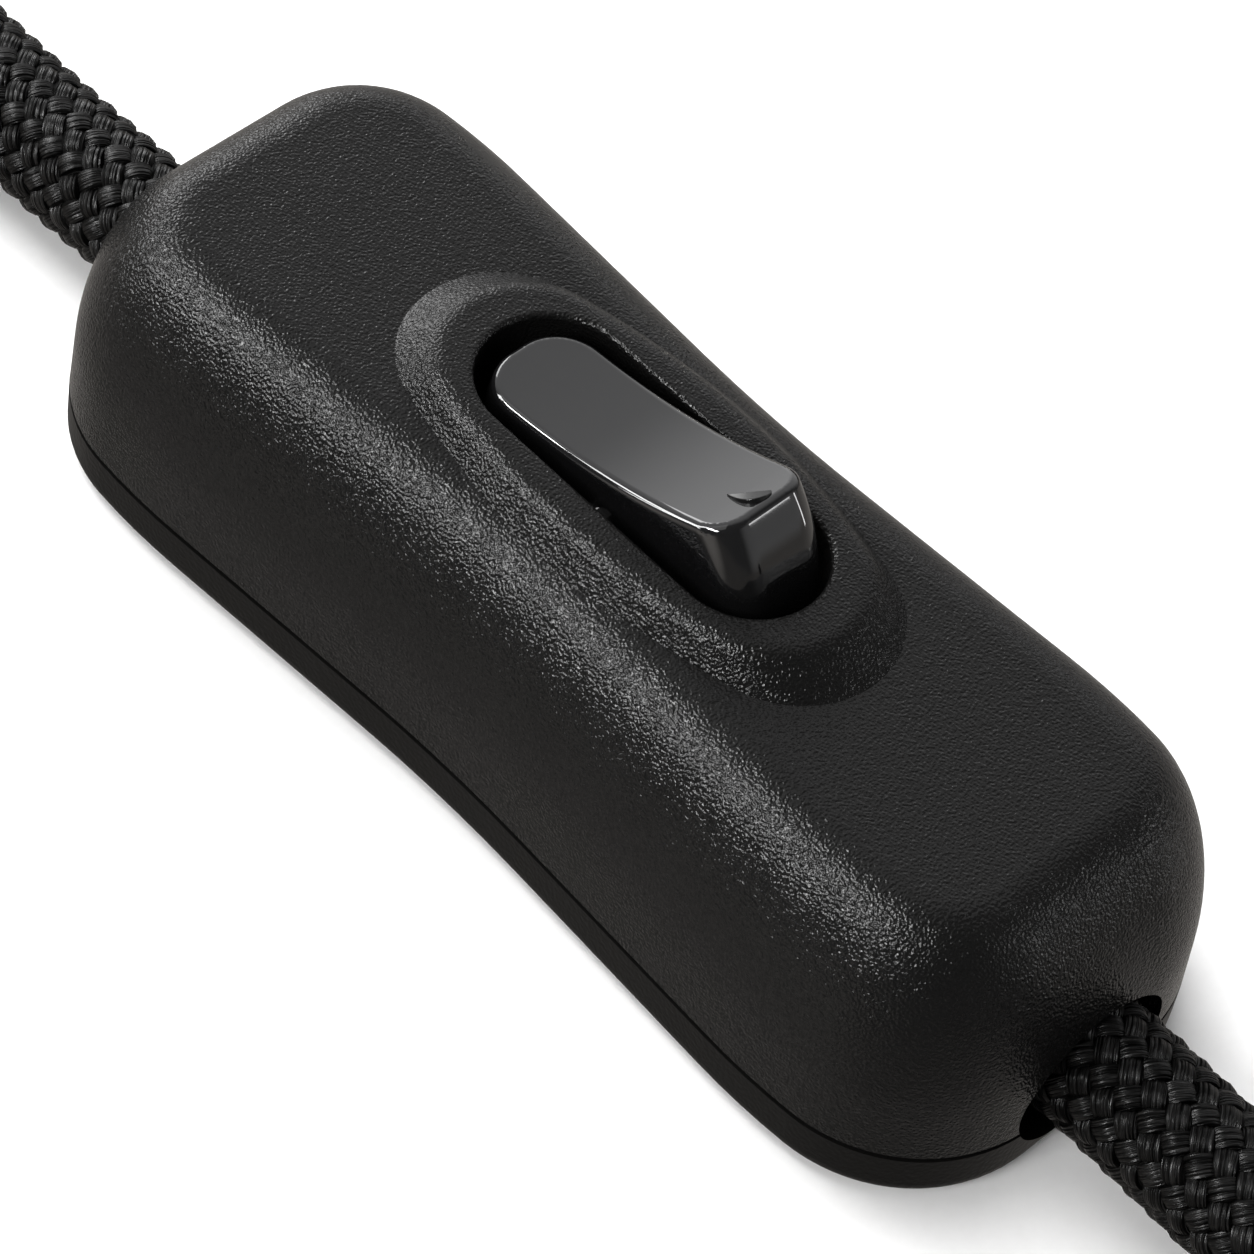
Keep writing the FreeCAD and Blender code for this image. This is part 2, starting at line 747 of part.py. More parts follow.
def set_on_coil(shape, centre):
    """To the side of the coil away from the casing."""
    shape.translate(centre + X * (coil_radius if centre.x > 0 else -coil_radius))
    return shape


def coil(centre):
    """Outer form of the wound cord: a ring with rounded edges, drawn in where the strap goes round it."""
    top = centre + Z * coil_height
    ring = rod(coil_radius + coil_half, centre, top).cut(rod(coil_radius - coil_half, centre, top))
    ring = ring.makeFillet(coil_edge, level_edges(ring, 0) + level_edges(ring, coil_height))
    room = block(-coil_radius, coil_radius, -tie_width / 2, tie_width / 2, -cord_radius,
                 coil_height + cord_radius)
    return ring.cut(set_on_coil(room.cut(tie_bore()), centre))


def coil_tie(centre):
    """Strap drawn tight round the bundle."""
    spare = tie_thickness - tie_bite
    outer = tie_loop(coil_half + spare, tie_width, 0, coil_height + spare, cord_radius)
    return set_on_coil(outer.cut(tie_bore()), centre)


def set_on_end(shape, route):
    """From a frame at the end of a lead, with +X the way the lead runs, to its place."""
    heading = route[-1] - route[-2]
    turn = degrees(heading.getAngle(X))
    shape.rotate(V(0, 0, 0), Z, turn if heading.y > 0 else -turn)
    shape.translate(route[-1])
    return shape


def plug_body():
    """Flat body that widens from the strain relief to the pin face."""
    def section(x, width, height):
        half_w, half_h, r = width / 2, height / 2, plug_round
        low = Part.makeBox(1, width, height, V(x, -half_w, -half_h))
        low = low.makeFillet(r, [e for e in low.Edges if e.BoundBox.XLength > 0.9])
        face = [f for f in low.Faces if abs(f.BoundBox.XMax - x) < 1e-4 and f.BoundBox.XLength < 1e-4][0]
        return face.OuterWire

    face = relief_length + plug_length
    sections = [section(relief_length, plug_width, plug_height - plug_rise),
                section(relief_length + plug_swell, plug_nose_width - plug_taper, plug_height),
                section(face, plug_nose_width, plug_height)]
    body = Part.makeLoft(sections, True, True)
    holes = [rod(pin_root_diameter / 2, V(face - pin_sunk, y, 0), V(face + 1, y, 0))
             for y in (pin_spacing / 2, -pin_spacing / 2)]
    return set_on_end(body.cut(holes), supply_tail_route)


def plug_pins():
    face = relief_length + plug_length
    pins = []
    for y in (pin_spacing / 2, -pin_spacing / 2):
        pin = rod(pin_diameter / 2, V(face, y, 0), V(face + pin_length, y, 0))
        tip = [e for e in pin.Edges if e.BoundBox.XMin > face + pin_length / 2]
        pin = pin.makeFillet(pin_tip_round, tip)
        pins.append(fuse(pin, rod(pin_root_diameter / 2, V(face - pin_sunk, y, 0), V(face, y, 0))))
    return set_on_end(Part.makeCompound(pins), supply_tail_route)


def strain_relief():
    """Tapered sleeve with grooves round it, from the cord to the plug's body."""
    slim = cord_radius + end_sleeve_wall
    cone = Part.makeCone(slim, relief_diameter / 2, relief_length, V(0, 0, 0), X)
    pitch = relief_length / (relief_grooves + 1)
    grooves = []
    for i in range(relief_grooves):
        start = X * (relief_lead + pitch * i)
        end = start + X * relief_groove_width
        floor = slim + (relief_diameter / 2 - slim) * start.x / relief_length - relief_groove_depth
        grooves.append(rod(relief_diameter, start, end).cut(rod(floor, start, end)))
    return set_on_end(cone.cut(grooves), supply_tail_route)


def end_core_route(side):
    """One core of the bare lead end, spread to its own side."""
    start = V(0, side * core_spread, 0)
    run = end_core_length / 3
    return [start, start + V(run, 0, 0), start + V(2 * run, side * end_core_bend, 0),
            start + V(3 * run, side * end_core_spread, 0)]


def end_sleeve():
    """Shrunk sleeve over the cut end of the braid, closed round the two cores."""
    form = rod(cord_radius + end_sleeve_wall, V(-end_sleeve_back, 0, 0), V(end_sleeve_front, 0, 0))
    nose = [e for e in form.Edges if e.BoundBox.XMin > end_sleeve_front / 2]
    form = form.makeFillet(end_sleeve_round, nose)
    bores = [rod(cord_radius + sleeve_clearance, V(-end_sleeve_back - 1, 0, 0), V(0, 0, 0))]
    for side in (1, -1):
        start = V(0, side * core_spread, 0)
        bores.append(rod(core_radius + sleeve_clearance, start, start + X * (end_sleeve_front + 1)))
    return set_on_end(form.cut(bores), lamp_tail_route)


def end_core(name, side):
    return set_on_end(tube(name, end_core_route(side), core_radius), lamp_tail_route)


def ferrules():
    """Crimped metal tubes on the two cores' ends."""
    tubes = []
    for side in (1, -1):
        route = end_core_route(side)
        heading = (route[-1] - route[-2]).normalize()
        tubes.append(rod(ferrule_diameter / 2, route[-1], route[-1] + heading * ferrule_length))
    return set_on_end(Part.makeCompound(tubes), lamp_tail_route)


nodes["upper_housing"] = upper_housing()
nodes["base_cover"] = base_cover()
nodes["rocker"] = rocker()
nodes["plunger"] = plunger()
nodes["plunger_spring"] = spring()
nodes["contact_arm"] = seesaw()
nodes["moving_contact"] = moving_contact()
nodes["common_terminal"] = common_terminal()
nodes["switched_terminal"] = switched_terminal()
nodes["fixed_contact"] = fixed_contact()
nodes["neutral_link"] = neutral_link()
nodes["terminal_screws"] = terminal_screws()
nodes["casing_screws"] = casing_screws()
nodes["supply_cord_clamp"] = cord_clamp(1, supply_route[0].y)
nodes["lamp_cord_clamp"] = cord_clamp(-1, lamp_route[0].y)
nodes["clamp_screws"] = clamp_screws()
for lead, side, route in (("supply", 1, supply_route), ("lamp", -1, lamp_route)):
    for core, y in (("live", -terminal_offset), ("neutral", terminal_offset)):
        path = core_route(side, y, route[0].y)
        nodes[lead + "_" + core + "_core"] = tube(lead + " " + core, path, core_radius)
        nodes[lead + "_" + core + "_copper"] = copper_end(side, y)
nodes["supply_cord"] = tube("supply cord", supply_route, cord_radius)
nodes["lamp_cord"] = tube("lamp cord", lamp_route, cord_radius)
nodes["supply_coil"] = coil(supply_coil_centre)
nodes["lamp_coil"] = coil(lamp_coil_centre)
nodes["supply_coil_tie"] = coil_tie(supply_coil_centre)
nodes["lamp_coil_tie"] = coil_tie(lamp_coil_centre)
nodes["supply_tail"] = tube("supply tail", supply_tail_route, cord_radius)
nodes["lamp_tail"] = tube("lamp tail", lamp_tail_route, cord_radius)
nodes["plug_strain_relief"] = strain_relief()
nodes["plug_body"] = plug_body()
nodes["plug_pins"] = plug_pins()
nodes["lamp_end_sleeve"] = end_sleeve()
nodes["lamp_end_live_core"] = end_core("lamp end live", -1)
nodes["lamp_end_neutral_core"] = end_core("lamp end neutral", 1)
nodes["lamp_end_ferrules"] = ferrules()

os.makedirs("parts", exist_ok=True)
for name, shape in nodes.items():
    shape.exportStep("parts/" + name + ".step")
    print(name, "solids", len(shape.Solids), "valid", shape.isValid(), "volume", round(shape.Volume, 2))
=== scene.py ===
import json
from math import cos, pi, radians, sin

import bpy
import numpy as np
from mathutils import Matrix, Vector
from mathutils.bvhtree import BVHTree


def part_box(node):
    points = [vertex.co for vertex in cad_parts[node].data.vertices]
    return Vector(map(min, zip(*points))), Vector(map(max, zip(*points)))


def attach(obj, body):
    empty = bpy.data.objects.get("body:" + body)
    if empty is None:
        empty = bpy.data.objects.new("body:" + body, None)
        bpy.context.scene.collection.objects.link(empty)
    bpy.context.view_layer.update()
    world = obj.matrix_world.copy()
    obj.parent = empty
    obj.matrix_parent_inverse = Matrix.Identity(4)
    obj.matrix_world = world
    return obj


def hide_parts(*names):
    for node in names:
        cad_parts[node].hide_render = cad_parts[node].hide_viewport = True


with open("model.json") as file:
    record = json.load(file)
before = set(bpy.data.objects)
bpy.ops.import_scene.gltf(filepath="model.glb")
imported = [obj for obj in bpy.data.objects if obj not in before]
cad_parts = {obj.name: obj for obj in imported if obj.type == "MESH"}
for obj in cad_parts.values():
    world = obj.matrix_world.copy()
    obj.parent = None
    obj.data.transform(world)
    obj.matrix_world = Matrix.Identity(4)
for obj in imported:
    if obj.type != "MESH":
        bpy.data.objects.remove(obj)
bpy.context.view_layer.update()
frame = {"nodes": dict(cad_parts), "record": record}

# Camera: the photograph's own viewing angle, in degrees, metres and, for the lens, millimetres
CAMERA_AZIMUTH = 37.368
CAMERA_ELEVATION = 51.889
CAMERA_ROLL = 11.352
CAMERA_DISTANCE = 0.25794
CAMERA_ASIDE = (0.000984, 0.003041)
CAMERA_LENS = 151.02
SENSOR_WIDTH = 36.0
NEAREST_SEEN = 0.01

# Leads: their routes where they aren't coiled, in metres
LEAD_DIAMETER = 0.007
SUPPLY_EXIT = (0.032, 0.0004, 0.0045)
SUPPLY_ROUTE = [
    (0.0236, 0.0003, 0.0044), SUPPLY_EXIT, (0.043, 0.0002, 0.0043),
    (0.057, -0.0006, 0.0038), (0.071, -0.0018, 0.00355),
]
SUPPLY_TAIL = [
    (0.067, 0.0826, 0.0093), (0.050, 0.0822, 0.0073),
    (0.036, 0.0814, 0.00685), (0.024, 0.081, 0.00685),
]
SUPPLY_COIL_CENTRE = (0.084, 0.040)
SUPPLY_COIL_START = -90
LAMP_EXIT = (-0.032, -0.00065, 0.0044)
LAMP_ROUTE = [
    (-0.0236, -0.00065, 0.0044), LAMP_EXIT, (-0.042, -0.0008, 0.00375),
    (-0.056, -0.0005, 0.00355), (-0.070, 0.0006, 0.00355),
]
LAMP_TAIL = [
    (-0.068, -0.0836, 0.0088), (-0.052, -0.0833, 0.0052),
    (-0.038, -0.0824, 0.00355), (-0.026, -0.0816, 0.00355),
]
LAMP_COIL_CENTRE = (-0.084, -0.041)
LAMP_COIL_START = 90

# Coils: three and a half turns, in metres and degrees: outer, inner, inner above and outer above,
# drawn together under the tie
COIL_TURNS = 3.5
POINTS_PER_TURN = 24
COIL_OUTER = 0.042
COIL_INNER = 0.035
COIL_LOW = 0.00355
COIL_HIGH = 0.0105
STEP_IN = (300, 360)
STEP_UP = (600, 660)
STEP_OUT = (900, 960)
TIE_ANGLE = 90
TIE_SPREAD = 16
TIE_SQUEEZE = 0.0008
TIE_LIFT = 0.0011
TIE_PRESS = 0.00077

# Braid: ribbons of filaments woven one over one round the lead's core, in metres
CORE_RADIUS = 0.0026
BRAID_RIBBONS = 10
BRAID_PITCH = 0.0151
BRAID_RADIUS = 0.00311
BRAID_WAVE = 0.00022
WAVE_SHARPNESS = 0.6
RIBBON_HALF_WIDTH = 0.00062
RIBBON_HALF_THICKNESS = 0.00017
RIBBON_SEED = 7
RIBBON_WIDTHS = (0.95, 1.06)
RIBBON_UV_STEP = 17.3
FREE_LENGTH = 0.058
FREE_SAMPLES = 5
COIL_SAMPLES = 2
FINE_SECTION = ((-1, -0.75), (-0.72, 0.45), (0, 1), (0.72, 0.45), (1, -0.75), (0, -1))
PLAIN_SECTION = ((-1, -0.6), (0, 1), (1, -0.6))

# Filaments: noise along and across a ribbon, in ribbon widths, with their relief in metres
LANE_STRETCH = (0.45, 5.5, 1.0)
FILAMENT_SCALE = 1.6
FILAMENT_CONTRAST = (-0.6, 1.6)
FILAMENT_RELIEF = 0.00025
FILAMENT_ROUGHNESS = (0.26, 0.5)
SPARK_SCALE = 6.0
RIBBON_SHADES = (0.75, 1.15)

# Other finishes: noise scales in periods per metre, reliefs in metres
PATCH_SCALE = 260.0
TARNISH_SCALE = 420.0
DRAWN_STRETCH = (0.08, 1.0, 1.0)
DRAWN_RELIEF = 0.000006
FLOOR_FIBRES = 900.0

# Tick near the raised end of the rocker: a small crescent standing on its top, in metres
TICK_ENDS = ((0.00496, -0.00046), (0.00636, 0.00089))
TICK_BELLY = 0.00074
TICK_HOLLOW = 0.00016
TICK_BLUNT = 0.00028
TICK_FULLNESS = 0.8
TICK_HEIGHT = 0.00022
TICK_TIP_SHARE = 0.35
TICK_INSET = 0.15
TICK_SINK = 0.00005
TICK_ROUNDING = 0.00004
TICK_STEPS = 16

# Stage, in metres
FLOOR_REACH = 3.0
FILL_DISTANCE = 0.9
MIRROR_DISTANCE = 0.7


def link(piece):
    bpy.context.scene.collection.objects.link(piece)
    return piece


# Materials


def new_material(name, **sockets):
    """A material, its node tree and its shader, with these sockets of the shader set."""
    made = bpy.data.materials.new(name)
    made.use_nodes = True
    tree = made.node_tree
    shader = tree.nodes["Principled BSDF"]
    for socket, value in sockets.items():
        shader.inputs[socket.replace("_", " ")].default_value = value
    return made, tree, shader


def add(tree, kind, inputs, **settings):
    """A node with its settings, and its inputs set to values or linked to other nodes' outputs."""
    node = tree.nodes.new(kind)
    for key, value in settings.items():
        setattr(node, key, value)
    for key, value in inputs.items():
        if isinstance(value, bpy.types.NodeSocket):
            tree.links.new(value, node.inputs[key])
        else:
            node.inputs[key].default_value = value
    return node


def place(tree):
    """Where a point is on the object, in metres."""
    return add(tree, "ShaderNodeTexCoord", {}).outputs["Object"]


def stretch(tree, at, scale):
    inputs = {"Vector": at, "Scale": scale}
    return add(tree, "ShaderNodeMapping", inputs, vector_type="POINT").outputs["Vector"]


def noise(tree, at, scale, detail, roughness):
    inputs = {"Vector": at, "Scale": scale, "Detail": detail, "Roughness": roughness}
    return add(tree, "ShaderNodeTexNoise", inputs).outputs["Fac"]


def arithmetic(tree, operation, *values):
    return add(tree, "ShaderNodeMath", dict(enumerate(values)), operation=operation).outputs[0]


def spread(tree, value, low, high):
    """A value from 0 to 1 laid out from low to high."""
    inputs = {"Value": value, "To Min": low, "To Max": high}
    return add(tree, "ShaderNodeMapRange", inputs).outputs["Result"]


def tint(tree, value, low, high):
    """A colour between low and high, as value goes from 0 to 1."""
    inputs = {"Factor": value, 6: (*low, 1), 7: (*high, 1)}
    return add(tree, "ShaderNodeMix", inputs, data_type="RGBA").outputs[2]


def bump(tree, height, distance):
    inputs = {"Height": height, "Distance": distance, "Strength": 1.0}
    return add(tree, "ShaderNodeBump", inputs).outputs["Normal"]


def finish_with(tree, shader, **outputs):
    """Links these outputs to the shader's sockets of the same names."""
    for socket, output in outputs.items():
        tree.links.new(output, shader.inputs[socket.replace("_", " ")])


def grained_plastic(name, grain, depth, dark, light, rough, gloss):
    """Matt moulded plastic with a fine leathery grain of close round hills."""
    made, tree, shader = new_material(name, Specular_IOR_Level=gloss)
    at = place(tree)
    hills = noise(tree, at, grain, detail=0.6, roughness=0.5)
    patches = noise(tree, at, PATCH_SCALE, detail=3.0, roughness=0.6)
    finish_with(
        tree, shader,
        Base_Color=tint(tree, patches, dark, light),
        Roughness=spread(tree, patches, *rough),
        Normal=bump(tree, hills, depth),
    )
    return made


def smooth_plastic(name, dark, light, rough, gloss, ripple=0.000004, scale=900.0):
    """Plastic from a polished or satin mould, with a slight flow ripple and faint handling marks."""
    made, tree, shader = new_material(name, Specular_IOR_Level=gloss)
    at = place(tree)
    flow = noise(tree, at, scale, detail=3.0, roughness=0.55)
    marks = noise(tree, at, scale * 4, detail=4.0, roughness=0.7)
    finish_with(
        tree, shader,
        Base_Color=tint(tree, flow, dark, light),
        Roughness=spread(tree, marks, *rough),
        Normal=bump(tree, flow, ripple),
    )
    return made


def metal(name, dark, light, rough, lines=2500.0):
    """Stamped or turned metal: tarnish in patches and fine drawn lines."""
    made, tree, shader = new_material(name, Metallic=1.0)
    at = place(tree)
    tarnish = noise(tree, at, TARNISH_SCALE, detail=4.0, roughness=0.65)
    drawn = noise(tree, stretch(tree, at, DRAWN_STRETCH), lines, detail=3.0, roughness=0.6)
    finish_with(
        tree, shader,
        Base_Color=tint(tree, tarnish, dark, light),
        Roughness=spread(tree, arithmetic(tree, "MULTIPLY", tarnish, drawn), *rough),
        Normal=bump(tree, drawn, DRAWN_RELIEF),
    )
    return made


def braid_textile(name, dark, light, gloss):
    """Ribbons of parallel filaments, some of which catch more light."""
    made, tree, shader = new_material(name, Anisotropic=0.4, Anisotropic_Rotation=0.25)
    along = add(tree, "ShaderNodeUVMap", {}, uv_map="ribbon").outputs["UV"]
    lanes = stretch(tree, along, LANE_STRETCH)
    threads = noise(tree, lanes, FILAMENT_SCALE, detail=1.5, roughness=0.5)
    filaments = spread(tree, threads, *FILAMENT_CONTRAST)
    sparks = noise(tree, lanes, SPARK_SCALE, detail=2.0, roughness=0.7)
    run = add(tree, "ShaderNodeTangent", {}, direction_type="UV_MAP", uv_map="ribbon").outputs["Tangent"]
    island = add(tree, "ShaderNodeNewGeometry", {}).outputs["Random Per Island"]
    shade = arithmetic(tree, "MULTIPLY", filaments, spread(tree, island, *RIBBON_SHADES))
    finish_with(
        tree, shader,
        Base_Color=tint(tree, shade, dark, light),
        Roughness=spread(tree, sparks, *FILAMENT_ROUGHNESS),
        Specular_IOR_Level=spread(tree, filaments, *gloss),
        Normal=bump(tree, filaments, FILAMENT_RELIEF),
        Tangent=run,
    )
    return made


def make_materials():
    """One finish for each of the record's material slots."""
    return {
        "casing_plastic": grained_plastic(
            "casing_grain", grain=7000.0, depth=0.000082,
            dark=(0.0042, 0.0041, 0.004), light=(0.0058, 0.0057, 0.0056), rough=(0.1, 0.2), gloss=0.12,
        ),
        "base_plastic": grained_plastic(
            "base_satin", grain=4200.0, depth=0.00002,
            dark=(0.0034, 0.0032, 0.003), light=(0.005, 0.0048, 0.0045), rough=(0.34, 0.48), gloss=0.09,
        ),
        "rocker_plastic": smooth_plastic(
            "rocker_gloss", dark=(0.0035, 0.0035, 0.0037), light=(0.005, 0.005, 0.0052),
            rough=(0.03, 0.07), gloss=0.5, ripple=0.0000006,
        ),
        "plunger_plastic": smooth_plastic(
            "plunger_acetal", dark=(0.62, 0.61, 0.57), light=(0.7, 0.69, 0.65), rough=(0.28, 0.42), gloss=0.45
        ),
        "steel": metal("zinc_plated_steel", (0.42, 0.43, 0.44), (0.62, 0.62, 0.6), (0.2, 0.42)),
        "bronze": metal("spring_bronze", (0.5, 0.27, 0.13), (0.66, 0.39, 0.2), (0.22, 0.42)),
        "brass": metal("brass", (0.56, 0.4, 0.14), (0.76, 0.57, 0.24), (0.2, 0.4)),
        "silver": metal("silver_contact", (0.68, 0.67, 0.63), (0.86, 0.85, 0.82), (0.22, 0.4)),
        "copper": metal("bare_copper", (0.55, 0.22, 0.1), (0.78, 0.37, 0.2), (0.24, 0.44), lines=5200.0),
        "live_insulation": smooth_plastic(
            "brown_insulation", dark=(0.07, 0.026, 0.011), light=(0.1, 0.04, 0.018),
            rough=(0.36, 0.5), gloss=0.4, ripple=0.00001,
        ),
        "neutral_insulation": smooth_plastic(
            "blue_insulation", dark=(0.012, 0.055, 0.2), light=(0.02, 0.085, 0.28),
            rough=(0.36, 0.5), gloss=0.4, ripple=0.00001,
        ),
        "cord_textile": braid_textile(
            "black_braid", dark=(0.0002, 0.0002, 0.0002), light=(0.0045, 0.0043, 0.0041), gloss=(0.02, 0.34)
        ),
        "tie_strap": grained_plastic(
            "tie_weave", grain=2400.0, depth=0.0001,
            dark=(0.006, 0.006, 0.006), light=(0.014, 0.014, 0.014), rough=(0.6, 0.8), gloss=0.25,
        ),
        "plug_plastic": grained_plastic(
            "plug_satin", grain=3600.0, depth=0.00004,
            dark=(0.0075, 0.0072, 0.007), light=(0.011, 0.0105, 0.01), rough=(0.38, 0.56), gloss=0.32,
        ),
        "pin_metal": metal("nickel_pins", (0.6, 0.58, 0.52), (0.78, 0.76, 0.71), (0.14, 0.32)),
        "end_sleeve": smooth_plastic(
            "shrink_sleeve", dark=(0.006, 0.006, 0.006), light=(0.011, 0.011, 0.011),
            rough=(0.34, 0.52), gloss=0.35, ripple=0.00004, scale=500.0,
        ),
        "ferrule_metal": metal("tinned_ferrule", (0.6, 0.6, 0.59), (0.76, 0.76, 0.74), (0.2, 0.4)),
    }


def dress_nodes(materials):
    """Each CAD node keeps its shape and takes the finish of its slot."""
    for subpart in frame["record"]["subparts"]:
        piece = frame["nodes"][subpart["node"]]
        piece.data.materials.clear()
        piece.data.materials.append(materials[subpart["material_slot"]])


# Leads


def coil_points(centre, start):
    """Control points of a coil's turns, lying on the floor and drawn together under the tie."""
    angles = (0, *STEP_IN, *STEP_OUT, COIL_TURNS * 360)
    radii = (COIL_OUTER, COIL_OUTER, COIL_INNER, COIL_INNER, COIL_OUTER, COIL_OUTER)
    middle = (COIL_OUTER + COIL_INNER) / 2
    points = []
    for step in range(int(COIL_TURNS * POINTS_PER_TURN) + 1):
        turned = step * 360 / POINTS_PER_TURN
        radius = np.interp(turned, angles, radii)
        height = np.interp(turned, STEP_UP, (COIL_LOW, COIL_HIGH))
        from_tie = (turned - TIE_ANGLE + 180) % 360 - 180
        drawn = np.exp(-((from_tie / TIE_SPREAD) ** 2))
        radius += drawn * TIE_SQUEEZE * (1 if radius < middle else -1)
        height += drawn * (TIE_LIFT if height < LEAD_DIAMETER else -TIE_PRESS)
        # The curve runs inside its control points, so they stand a little further out
        out = radius / cos(pi / POINTS_PER_TURN)
        angle = radians(start + turned)
        points.append((centre[0] + out * cos(angle), centre[1] + out * sin(angle), height))
    return points


def lead_curve(name, points):
    """A lead's centreline as one smooth spline."""
    data = bpy.data.curves.new(name, "CURVE")
    data.dimensions = "3D"
    spline = data.splines.new("NURBS")
    spline.points.add(len(points) - 1)
    for knot, point in zip(spline.points, points):
        knot.co = (*point, 1)
    spline.order_u = 3
    spline.use_endpoint_u = True
    spline.resolution_u = 8
    return link(bpy.data.objects.new(name, data))


def unit(rows):
    return rows / np.linalg.norm(rows, axis=1, keepdims=True)


def read_line(curve):
    """Distances along a lead's spline, its points and tangents there, and sides that don't twist."""
    bpy.context.view_layer.update()
    mesh = bpy.data.meshes.new_from_object(curve)
    points = np.array([v.co for v in mesh.vertices])
    bpy.data.meshes.remove(mesh)
    runs = np.linalg.norm(np.diff(points, axis=0), axis=1)
    distances = np.concatenate(([0], np.cumsum(runs)))
    tangents = unit(np.gradient(points, distances, axis=0))
    sides = np.zeros_like(points)
    side = np.cross((0, 0, 1), tangents[0])
    for i, tangent in enumerate(tangents):
        side = side - tangent * side.dot(tangent)
        side /= np.linalg.norm(side)
        sides[i] = side
    return distances, points, tangents, sides


def at_distances(line, wanted):
    """Points, tangents and two side directions at these distances along a lead."""
    distances, *tables = line
    points, tangents, sides = (
        np.stack([np.interp(wanted, distances, table[:, axis]) for axis in range(3)], 1) for table in tables
    )
    tangents = unit(tangents)
    sides = unit(sides)
    return points, tangents, sides, np.cross(tangents, sides)


def ribbon_points(line, wanted, hand, turn, section, width):
    """Corners of one ribbon's section at each distance, rising over and dipping under its crossings."""
    points, tangents, sides, ups = at_distances(line, wanted)
    angle = hand * 2 * pi * wanted / BRAID_PITCH + turn
    out = sides * np.cos(angle)[:, None] + ups * np.sin(angle)[:, None]
    round_about = ups * np.cos(angle)[:, None] - sides * np.sin(angle)[:, None]
    crossing = np.cos(2 * pi * BRAID_RIBBONS * wanted / BRAID_PITCH)
    wave = np.sign(crossing) * np.abs(crossing) ** WAVE_SHARPNESS
    radius = BRAID_RADIUS + hand * BRAID_WAVE * wave
    path = unit(tangents + round_about * (hand * 2 * pi * radius / BRAID_PITCH)[:, None])
    across = np.cross(out, path)
    middle = points + out * radius[:, None]
    return np.stack(
        [
            middle + across * (x * RIBBON_HALF_WIDTH * width) + out * (y * RIBBON_HALF_THICKNESS)
            for x, y in section
        ],
        1,
    )


def braid(name, line, start, end, samples, section):
    """The woven cover of a lead from start to end along it, as closed ribbons."""
    crossing = BRAID_PITCH / BRAID_RIBBONS / 2
    count = int((end - start) / crossing * samples) + 1
    wanted = np.linspace(start, end, count)
    corners = len(section)
    widths = np.random.RandomState(RIBBON_SEED).uniform(*RIBBON_WIDTHS, (2, BRAID_RIBBONS))
    here = np.arange(count - 1)[:, None] * corners
    there = here + corners
    side = np.arange(corners)[None, :]
    after = (side + 1) % corners
    quads = np.stack([here + side, here + after, there + after, there + side], -1).reshape(-1, 4)
    uv_along = np.repeat(wanted / (2 * RIBBON_HALF_WIDTH), corners)
    uv_across = np.tile([x / 2 + 0.5 for x, y in section], count)
    vertices, faces, places = [], [], []
    for strand in range(2 * BRAID_RIBBONS):
        hand = 1 if strand < BRAID_RIBBONS else -1
        number = strand % BRAID_RIBBONS
        turn = 2 * pi * number / BRAID_RIBBONS
        ring = ribbon_points(line, wanted, hand, turn, section, widths[int(hand > 0), number])
        base = strand * count * corners
        vertices.append(ring.reshape(-1, 3))
        faces.extend((quads + base).tolist())
        faces.append([base + k for k in reversed(range(corners))])
        faces.append([base + (count - 1) * corners + k for k in range(corners)])
        places.append(np.stack([uv_along + RIBBON_UV_STEP * strand, uv_across + strand], 1))
    mesh = bpy.data.meshes.new(name)
    mesh.from_pydata(np.concatenate(vertices).tolist(), [], faces)
    layer = mesh.uv_layers.new(name="ribbon")
    corner_of = np.zeros(len(mesh.loops), dtype=np.int32)
    mesh.loops.foreach_get("vertex_index", corner_of)
    layer.data.foreach_set("uv", np.concatenate(places)[corner_of].astype(np.float32).ravel())
    mesh.polygons.foreach_set("use_smooth", np.ones(len(mesh.polygons), dtype=bool))
    mesh.update()
    return link(bpy.data.objects.new(name, mesh))


def make_lead(name, points, materials):
    """A lead's core along its spline, and the braid over it in three pieces."""
    lead = lead_curve(name + "_lead", points)
    line = read_line(lead)
    length = line[0][-1]
    lead.data.bevel_depth = CORE_RADIUS
    lead.data.bevel_resolution = 3
    lead.data.use_fill_caps = True
    half = (FREE_LENGTH + length) / 2
    braids = [
        braid(name + "_braid_free", line, 0, FREE_LENGTH, FREE_SAMPLES, FINE_SECTION),
        braid(name + "_braid_coil_low", line, FREE_LENGTH, half, COIL_SAMPLES, PLAIN_SECTION),
        braid(name + "_braid_coil_high", line, half, length, COIL_SAMPLES, PLAIN_SECTION),
    ]
    solids = (name + "_cord", name + "_coil", name + "_tail")
    for piece in (lead, *braids):
        piece.data.materials.append(materials["cord_textile"])
        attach(piece, "casing")
        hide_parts(*solids)
    # The coils lie outside the photograph, so the casing and rocker don't mirror them
    for piece in (lead, *braids[1:]):
        piece.visible_glossy = False
    return lead, length, braids


def make_leads(materials):
    supply_points = SUPPLY_ROUTE + coil_points(SUPPLY_COIL_CENTRE, SUPPLY_COIL_START) + SUPPLY_TAIL
    supply, supply_length, supply_braids = make_lead("supply", supply_points, materials)
    lamp_points = LAMP_ROUTE + coil_points(LAMP_COIL_CENTRE, LAMP_COIL_START) + LAMP_TAIL
    lamp, lamp_length, lamp_braids = make_lead("lamp", lamp_points, materials)


# Tick


